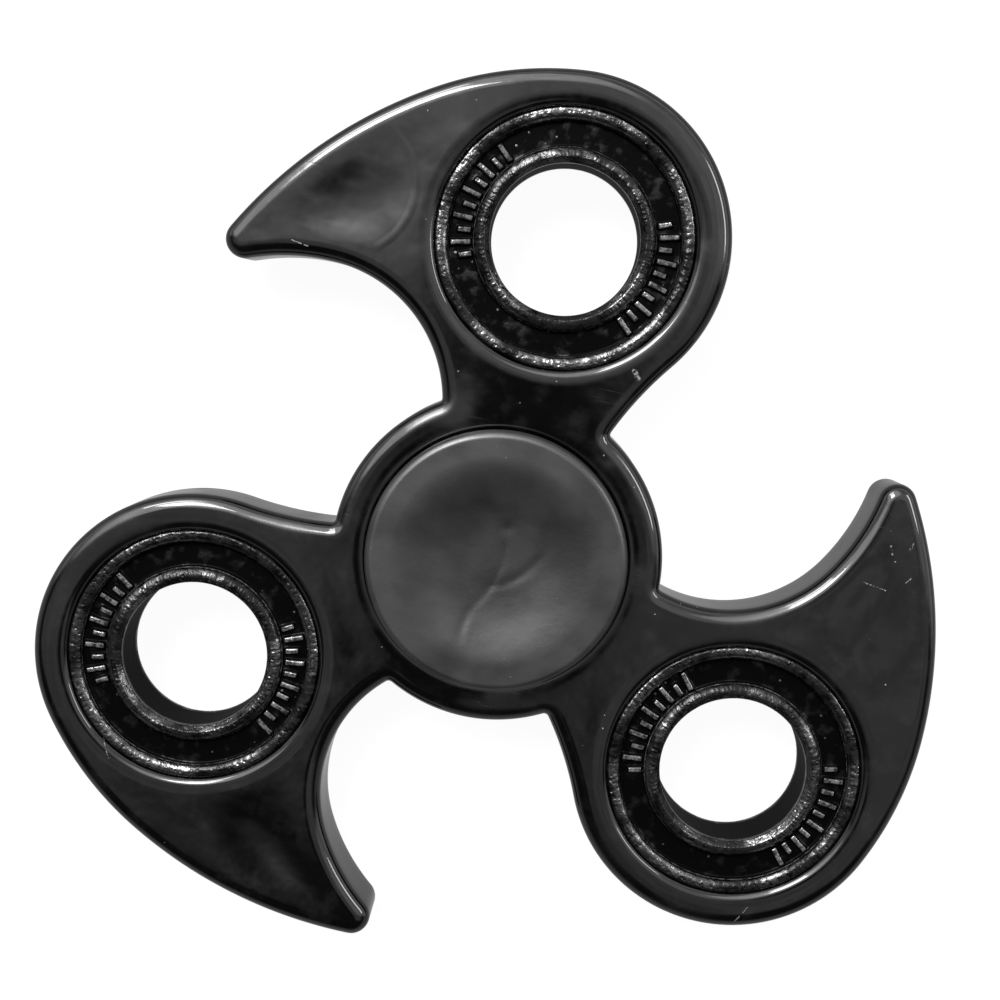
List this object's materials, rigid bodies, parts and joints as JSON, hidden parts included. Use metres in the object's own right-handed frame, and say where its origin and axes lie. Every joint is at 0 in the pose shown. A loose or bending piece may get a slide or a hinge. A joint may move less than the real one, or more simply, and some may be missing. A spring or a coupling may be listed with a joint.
{
  "type": "fidget spinner",
  "caption": "Hand-held fidget spinner: curved blade arms with ring weights in their round ends, turning on a central ball bearing between two dished finger caps.",
  "frame": {"origin": "centre of the hub, on the spin axis, half way through the body's thickness", "axes": "+Z along the spin axis out of one finger cap; +Y from the hub to the first weight's centre; +X completes the right-handed frame"},
  "size_m": [0.0779, 0.0779, 0.0108],
  "materials": {
    "body_black": "polished black moulding with fine scratches and dust",
    "ring_iron": "blackened casting, rough sparkling lips and a sunk web",
    "bearing_steel": "ground and polished",
    "ball_steel": "mirror polished",
    "cage_steel": "pressed sheet",
    "shield_steel": "pressed sheet, turned lay",
    "cap_grey": "satin dark grey with a faint moulding flow line"
  },
  "bodies": {
    "hub": {"finger_cap_top": "cap_grey", "finger_cap_bottom": "cap_grey", "bearing_inner_race": "bearing_steel"},
    "spinner": {"spinner_body": "body_black", "ring_weight_a": "ring_iron", "ring_weight_b": "ring_iron", "ring_weight_c": "ring_iron", "bearing_outer_race": "bearing_steel", "bearing_shield_top": "shield_steel", "bearing_shield_bottom": "shield_steel"},
    "cage": {"ball_cage_upper": "cage_steel", "ball_cage_lower": "cage_steel", "cage_rivets": "cage_steel"},
    "ball_1": {"bearing_ball_1": "ball_steel"},
    "ball_2": {"bearing_ball_2": "ball_steel"},
    "ball_3": {"bearing_ball_3": "ball_steel"},
    "ball_4": {"bearing_ball_4": "ball_steel"},
    "ball_5": {"bearing_ball_5": "ball_steel"},
    "ball_6": {"bearing_ball_6": "ball_steel"},
    "ball_7": {"bearing_ball_7": "ball_steel"}
  },
  "joints": [
    {"name": "spinner_spin", "type": "hinge", "parent": "hub", "child": "spinner", "pos_m": [0, 0, 0], "axis": [0, 0, 1], "continuous": true},
    {"name": "cage_spin", "type": "hinge", "parent": "hub", "child": "cage", "pos_m": [0, 0, 0], "axis": [0, 0, 1], "continuous": true},
    {"name": "ball_1_roll", "type": "hinge", "parent": "cage", "child": "ball_1", "pos_m": [0, 0.0075, 0], "axis": [0, 0, 1], "continuous": true},
    {"name": "ball_2_roll", "type": "hinge", "parent": "cage", "child": "ball_2", "pos_m": [-0.00586, 0.00468, 0], "axis": [0, 0, 1], "continuous": true},
    {"name": "ball_3_roll", "type": "hinge", "parent": "cage", "child": "ball_3", "pos_m": [-0.00731, -0.00167, 0], "axis": [0, 0, 1], "continuous": true},
    {"name": "ball_4_roll", "type": "hinge", "parent": "cage", "child": "ball_4", "pos_m": [-0.00325, -0.00676, 0], "axis": [0, 0, 1], "continuous": true},
    {"name": "ball_5_roll", "type": "hinge", "parent": "cage", "child": "ball_5", "pos_m": [0.00325, -0.00676, 0], "axis": [0, 0, 1], "continuous": true},
    {"name": "ball_6_roll", "type": "hinge", "parent": "cage", "child": "ball_6", "pos_m": [0.00731, -0.00167, 0], "axis": [0, 0, 1], "continuous": true},
    {"name": "ball_7_roll", "type": "hinge", "parent": "cage", "child": "ball_7", "pos_m": [0.00586, 0.00468, 0], "axis": [0, 0, 1], "continuous": true}
  ],
  "couplings": [
    {"joint": "cage_spin", "follows": "spinner_spin", "ratio": 0.6323},
    {"joint": "ball_1_roll", "follows": "spinner_spin", "ratio": 1.7573},
    {"joint": "ball_2_roll", "follows": "spinner_spin", "ratio": 1.7573},
    {"joint": "ball_3_roll", "follows": "spinner_spin", "ratio": 1.7573},
    {"joint": "ball_4_roll", "follows": "spinner_spin", "ratio": 1.7573},
    {"joint": "ball_5_roll", "follows": "spinner_spin", "ratio": 1.7573},
    {"joint": "ball_6_roll", "follows": "spinner_spin", "ratio": 1.7573},
    {"joint": "ball_7_roll", "follows": "spinner_spin", "ratio": 1.7573}
  ]
}
